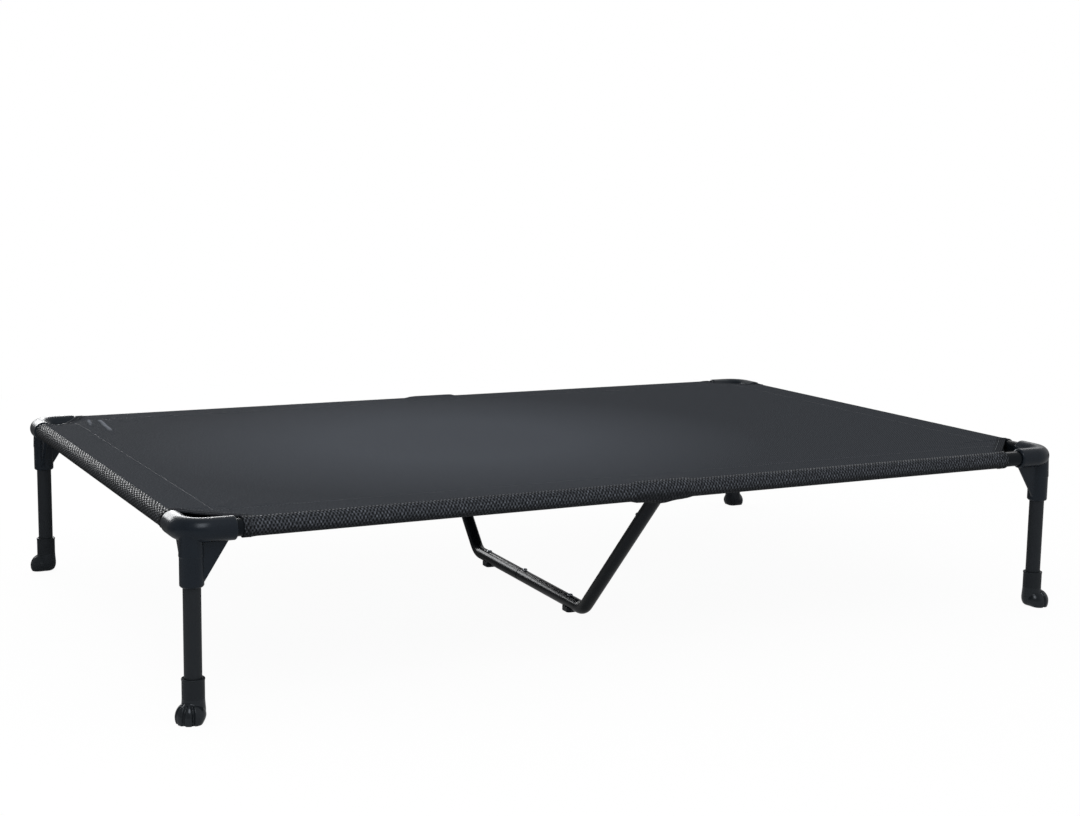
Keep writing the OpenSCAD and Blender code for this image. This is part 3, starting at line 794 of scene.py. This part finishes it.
def crowns_of(tree, flat_place, yarn):
    """1 on a crown of the weave and 0 in a gap; low on a sleeve the crowns fade, painting shade on its
    underside and dulling it.
    """
    drift = {"Vector": flat_place, "Scale": 1 / WANDER, "Detail": 1.0}
    wander = add(tree, "TexNoise", drift).outputs["Color"]
    shift = {0: wander, 1: (WANDER_REACH, WANDER_REACH, 0.0), 2: flat_place}
    laid = add(tree, "VectorMath", shift, operation="MULTIPLY_ADD").outputs[0]
    across = add(tree, "SeparateXYZ", {0: laid}).outputs
    warp = add(tree, "Math", {0: across["X"], 1: 2 * math.pi / yarn[0]}, operation="MULTIPLY").outputs[0]
    weft = add(tree, "Math", {0: across["Y"], 1: 2 * math.pi / yarn[1]}, operation="MULTIPLY").outputs[0]
    warp_wave = add(tree, "Math", {0: warp}, operation="SINE").outputs[0]
    weft_wave = add(tree, "Math", {0: weft}, operation="SINE").outputs[0]
    product = add(tree, "Math", {0: warp_wave, 1: weft_wave}, operation="MULTIPLY").outputs[0]
    crossing = add(tree, "MapRange", {0: product, 1: CROWN_FROM, 2: CROWN_TO, 3: 0.0, 4: 1.0}).outputs[0]
    from_middle = add(tree, "VectorMath", {0: flat_place}, operation="ABSOLUTE").outputs[0]
    to_rails = {0: from_middle, 1: (RAIL_X, RAIL_Y, 0.0)}
    past = add(tree, "VectorMath", to_rails, operation="SUBTRACT").outputs[0]
    round_rail = add(tree, "SeparateXYZ", {0: past}).outputs
    low = add(tree, "Math", {0: round_rail["X"], 1: round_rail["Y"]}, operation="MAXIMUM").outputs[0]
    # Low on each sleeve the crowns fade to the dark of the gaps and lose their shine: a painted shade on the
    # underside, with a real dulling.
    fading = {0: low, 1: LIT_TO, 2: SHADE_FROM, 3: 1.0, 4: SHADE_LEVEL}
    painted_lit = add(tree, "MapRange", fading).outputs[0]
    return add(tree, "Math", {0: crossing, 1: painted_lit}, operation="MULTIPLY").outputs[0]


print("rubbed crowns end", LIT_TO, "m round the rail")

# %% Painted sheen in the middle
SHEEN_AT, SHEEN_SIZE = (-0.12, 0.0, 0.0), (0.42, 0.40, 1.0)
SHEEN_FROM, SHEEN_TO = 0.4, 1.05


def painted_sheen_of(tree, flat_place, painted_sheen):
    """How many times lighter the cloth is painted here: a painted sheen in the middle of the top."""
    from_patch = add(tree, "VectorMath", {0: flat_place, 1: SHEEN_AT}, operation="SUBTRACT").outputs[0]
    spread = add(tree, "VectorMath", {0: from_patch, 1: SHEEN_SIZE}, operation="DIVIDE").outputs[0]
    out = add(tree, "VectorMath", {0: spread}, operation="LENGTH").outputs["Value"]
    return add(tree, "MapRange", {0: out, 1: SHEEN_FROM, 2: SHEEN_TO, 3: 1.0 + painted_sheen, 4: 1.0}).outputs[0]


print("worn patch round", SHEEN_AT[:2])

# %% Cloth finishes
SPECKLE, SPOT_FROM, SPOT_TO = 0.0024, 0.42, 0.66
HEM_SHADE = 0.62
CREASE_GLINT_FROM, CREASE_GLINT_SHARE = 0.4, 0.6
DULLER = 0.16
YARN_HEIGHT = 0.0005
OVER_RAIL = 0.001


def woven_finish(name, shine, gaps, crowns, roughness, relief_depth, yarn, painted_sheen=0.0):
    """The woven mesh: colours of gaps and crowns, roughness of both, and how far its yarns stand apart."""
    material, tree, shader = finish_of(name, IOR=1.48, Specular_IOR_Level=shine)
    flat_place = add(tree, "UVMap", uv_map="cloth").outputs[0]
    crown = crowns_of(tree, flat_place, yarn)
    # Random spots make some crowns lighter and glossier, partly a tone of the yarn and partly painted
    # glints.
    spots = add(tree, "TexNoise", {"Vector": flat_place, "Scale": 1 / SPECKLE, "Detail": 2.0}).outputs["Fac"]
    glint_spots = add(tree, "MapRange", {0: spots, 1: SPOT_FROM, 2: SPOT_TO, 3: 0.0, 4: 1.0}).outputs[0]
    tones_and_glints = {0: glint_spots, 6: linear(crowns[0]), 7: linear(crowns[1])}
    tone_and_glint = add(tree, "Mix", tones_and_glints, data_type="RGBA").outputs[2]
    skein = add(tree, "Mix", {0: crown, 6: linear(gaps), 7: tone_and_glint}, data_type="RGBA").outputs[2]
    fold = add(tree, "Attribute", attribute_name="hem").outputs["Fac"]
    shade = add(tree, "MapRange", {0: fold, 3: 1.0, 4: HEM_SHADE}).outputs[0]
    # The middle of the top is painted lighter, a painted sheen.
    sheen_level = painted_sheen_of(tree, flat_place, painted_sheen)
    level = add(tree, "Math", {0: shade, 1: sheen_level}, operation="MULTIPLY").outputs[0]
    shaded = {0: 1.0, 6: skein, 7: level}
    sewn = add(tree, "Mix", shaded, data_type="RGBA", blend_type="MULTIPLY").outputs[2]
    # Sharp creases are painted towards #868b94, a painted highlight where a fold catches the light.
    crease_mask = add(tree, "Attribute", attribute_name="crease").outputs["Fac"]
    crease_glint = add(tree, "MapRange", {0: crease_mask, 1: CREASE_GLINT_FROM, 2: 1.0, 3: 0.0, 4: CREASE_GLINT_SHARE}).outputs[0]
    cloth = add(tree, "Mix", {0: crease_glint, 6: sewn, 7: linear("#868b94")}, data_type="RGBA").outputs[2]
    tree.links.new(cloth, shader.inputs["Base Color"])
    dull = add(tree, "MapRange", {0: glint_spots, 3: roughness[1] + DULLER, 4: roughness[1]}).outputs[0]
    gloss = add(tree, "Mix", {0: crown, 2: roughness[0], 3: dull}).outputs[0]
    tree.links.new(gloss, shader.inputs["Roughness"])
    yarns = {"Height": crown, "Strength": relief_depth, "Distance": YARN_HEIGHT}
    skin = add(tree, "Bump", yarns).outputs[0]
    tree.links.new(skin, shader.inputs["Normal"])
    return material


woven = woven_finish(
    "vinyl_coated_polyester_mesh", shine=0.04, gaps="#1e2125", crowns=("#3c3f44", "#474a50"),
    roughness=(0.97, 0.85), relief_depth=0.2, yarn=(0.0034, 0.0034), painted_sheen=0.72)
drawn = woven_finish(
    "polyester_mesh_drawn_tight", shine=0.4, gaps="#060708", crowns=("#26292e", "#5a5e66"),
    roughness=(0.9, 0.26), relief_depth=0.4, yarn=(0.0044, 0.0072))
drawn_aside = woven_finish(
    "polyester_mesh_drawn_tight_on_sides", shine=0.24, gaps="#0b0c0e", crowns=("#1d2024", "#3a3e44"),
    roughness=(0.9, 0.30), relief_depth=0.4, yarn=(0.0040, 0.0110))
for finish in (woven, drawn, drawn_aside):
    sling.data.materials.append(finish)
for polygon in sling.data.polygons:
    if abs(polygon.center.x) > RAIL_X - OVER_RAIL:
        polygon.material_index = 2
    elif abs(polygon.center.y) > RAIL_Y - OVER_RAIL:
        polygon.material_index = 1
print([finish.name for finish in sling.data.materials])

# %% [markdown]
# ## Stitching
#
# Black polyester thread closes each sleeve and holds the folded hem round each clearing. One stitch is a
# small bead, drawn out from a ball. It is copied along the rows with its own place and turn.

# %% One stitch
STITCH_RADIUS = 0.0005
STITCH_SHAPE = (3.4, 1.0, 0.8)
bpy.ops.object.select_all(action="DESELECT")
bpy.ops.mesh.primitive_uv_sphere_add(segments=6, ring_count=5, radius=STITCH_RADIUS)
stitch = bpy.context.object
bpy.ops.object.mode_set(mode="EDIT")
bpy.ops.mesh.select_all(action="SELECT")
bpy.ops.transform.resize(value=STITCH_SHAPE)
bpy.ops.object.mode_set(mode="OBJECT")
bead = np.array([v.co for v in stitch.data.vertices])
bead_faces = [list(p.vertices) for p in stitch.data.polygons]
bpy.data.objects.remove(stitch)
print("faces of a stitch:", len(bead_faces))

# %% Rows of stitches
PITCH = 0.0042
ROW_END = 0.003
rows = []


def sew(place, along, up):
    """Keeps one stitch: where it lies, the way it runs and the way it faces."""
    along, up = Vector(along).normalized(), Vector(up).normalized()
    rows.append((place, along, up.cross(along), up))


FACE = WRAP + CLOTH / 2
for side in (-1, 1):
    for half, other_half, long_side in ((RAIL_X, RAIL_Y, True), (RAIL_Y, RAIL_X, False)):
        pair = [CLEARING[(s, side) if long_side else (side, s)] for s in (-1, 1)]
        low = -half + sleeve_end(HEM, pair[0]) + ROW_END
        high = half - sleeve_end(HEM, pair[1]) - ROW_END
        count = int((high - low) / PITCH)
        for i in range(count):
            p = low + PITCH * (i + 0.5)
            q = side * (other_half - HEM)
            x, y = (p, q) if long_side else (q, p)
            sew((x, y, RAIL_Z + FACE + relief(x, y)), (1, 0, 0) if long_side else (0, 1, 0), (0, 0, 1))
print("stitches along the sleeves:", len(rows))

# %% Stitches across the corners and round the ends of the sleeves
IN_FROM_EDGE = 0.0088
for (sx, sy), reach in CLEARING.items():
    middle = (reach + LAND) / 2 + IN_FROM_EDGE / math.sqrt(2)
    half_run = (reach - LAND) / math.sqrt(2)
    count = int(2 * half_run / PITCH)
    for i in range(count + 1):
        along = half_run * (2 * i / count - 1) / math.sqrt(2)
        x, y = sx * (RAIL_X - middle - along), sy * (RAIL_Y - middle + along)
        sew((x, y, RAIL_Z + FACE + 2 * HEM_FOLD + relief(x, y)), (-sx, sy, 0), (0, 0, 1))
    wrap_count = int((WRAP + CLOTH) * math.pi / PITCH)
    far = reach + IN_FROM_EDGE
    for i in range(1, wrap_count + 1):
        turn = math.pi / 2 + math.pi * i / wrap_count
        height = FACE + 2 * HEM_FOLD
        inboard, up = height * math.cos(turn), height * math.sin(turn)
        sew((sx * (RAIL_X - far), sy * (RAIL_Y - inboard), RAIL_Z + up),
            (0, sy * math.sin(turn), math.cos(turn)), (0, -sy * math.cos(turn), math.sin(turn)))
        sew((sx * (RAIL_X - inboard), sy * (RAIL_Y - far), RAIL_Z + up),
            (sx * math.sin(turn), 0, math.cos(turn)), (-sx * math.cos(turn), 0, math.sin(turn)))
print("stitches in all:", len(rows))

# %% Thread
thread_points, thread_faces = [], []
for place, along, aside, up in rows:
    turned = bead @ np.array([along, aside, up]) + np.array(place)
    thread_faces.extend([[c + len(thread_points) for c in face] for face in bead_faces])
    thread_points.extend(turned.tolist())
thread_mesh = bpy.data.meshes.new("sling_stitching")
thread_mesh.from_pydata(thread_points, [], thread_faces)
stitching = bpy.data.objects.new("sling_stitching", thread_mesh)
bpy.context.scene.collection.objects.link(stitching)
only(stitching)
bpy.ops.object.shade_smooth()
thread, tree, shader = finish_of("black_polyester_thread", Specular_IOR_Level=0.3)
mottle(tree, shader, size=0.0012, detail=1.0, colours=("#202327", "#4b4f55"), roughness=(0.35, 0.55))
stitching.data.materials.append(thread)
print("thread faces:", len(thread_faces))

# %% [markdown]
# At the rear left the slack edge of the cloth has rolled over. The roll is a thin tube along the clearing,
# and its round top shines where a flat edge would not.

# %% Rolled edge at the rear left
ROLL_RADIUS, ROLL_STEPS = 0.0011, 24
slack = CLEARING[-1, 1]
roll_curve = bpy.data.curves.new("sling_rolled_edge", "CURVE")
roll_curve.dimensions = "3D"
roll_curve.bevel_depth = ROLL_RADIUS
roll_curve.use_fill_caps = True
spine = roll_curve.splines.new("POLY")
spine.points.add(ROLL_STEPS)
for i, point in enumerate(spine.points):
    a = LAND + (slack - LAND) * i / ROLL_STEPS
    x, y = -RAIL_X + a, RAIL_Y - (slack + LAND - a)
    point.co = (x, y, RAIL_Z + WRAP + HEM_FOLD + relief(x, y), 1.0)
roll = bpy.data.objects.new("sling_rolled_edge", roll_curve)
bpy.context.scene.collection.objects.link(roll)
only(roll)
bpy.ops.object.convert(target="MESH")
roll = bpy.context.object
bpy.ops.object.shade_smooth()
roll.data.materials.clear()
roll.data.materials.append(thread)
print("faces of the rolled edge:", len(roll.data.polygons))

# %% Join the sling to the frame
for piece in (sling, stitching, roll):
    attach(piece, "frame")
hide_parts("sling")
print("sling rides on the frame")

# %% [markdown]
# ## Springs behind the snap buttons
#
# A snap button sits on one leg of a folded strip of spring steel, inside the tube. Pressed in, it pushes
# that leg towards the other, which bears on the far wall, and the fold between them gives. The way each
# button is pressed is worked out, and a copy of each spring's solid stands in for it.

# %% Copy the springs
SLOPE, SWING = math.sin(ARM), math.cos(ARM)
presses = {
    "front": Vector((SLOPE * math.sin(TURN), SLOPE * math.cos(TURN), SWING)),
    "rear": Vector((-SLOPE * math.sin(TURN), -SLOPE * math.cos(TURN), SWING)),
    "bar": Vector((0.0, 0.0, 1.0)),
}
for place, press in presses.items():
    spring = bpy.data.objects.new(f"spring_{place}_strip", nodes[f"spring_{place}"].data.copy())
    bpy.context.scene.collection.objects.link(spring)
    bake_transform(spring)
    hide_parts(f"spring_{place}")
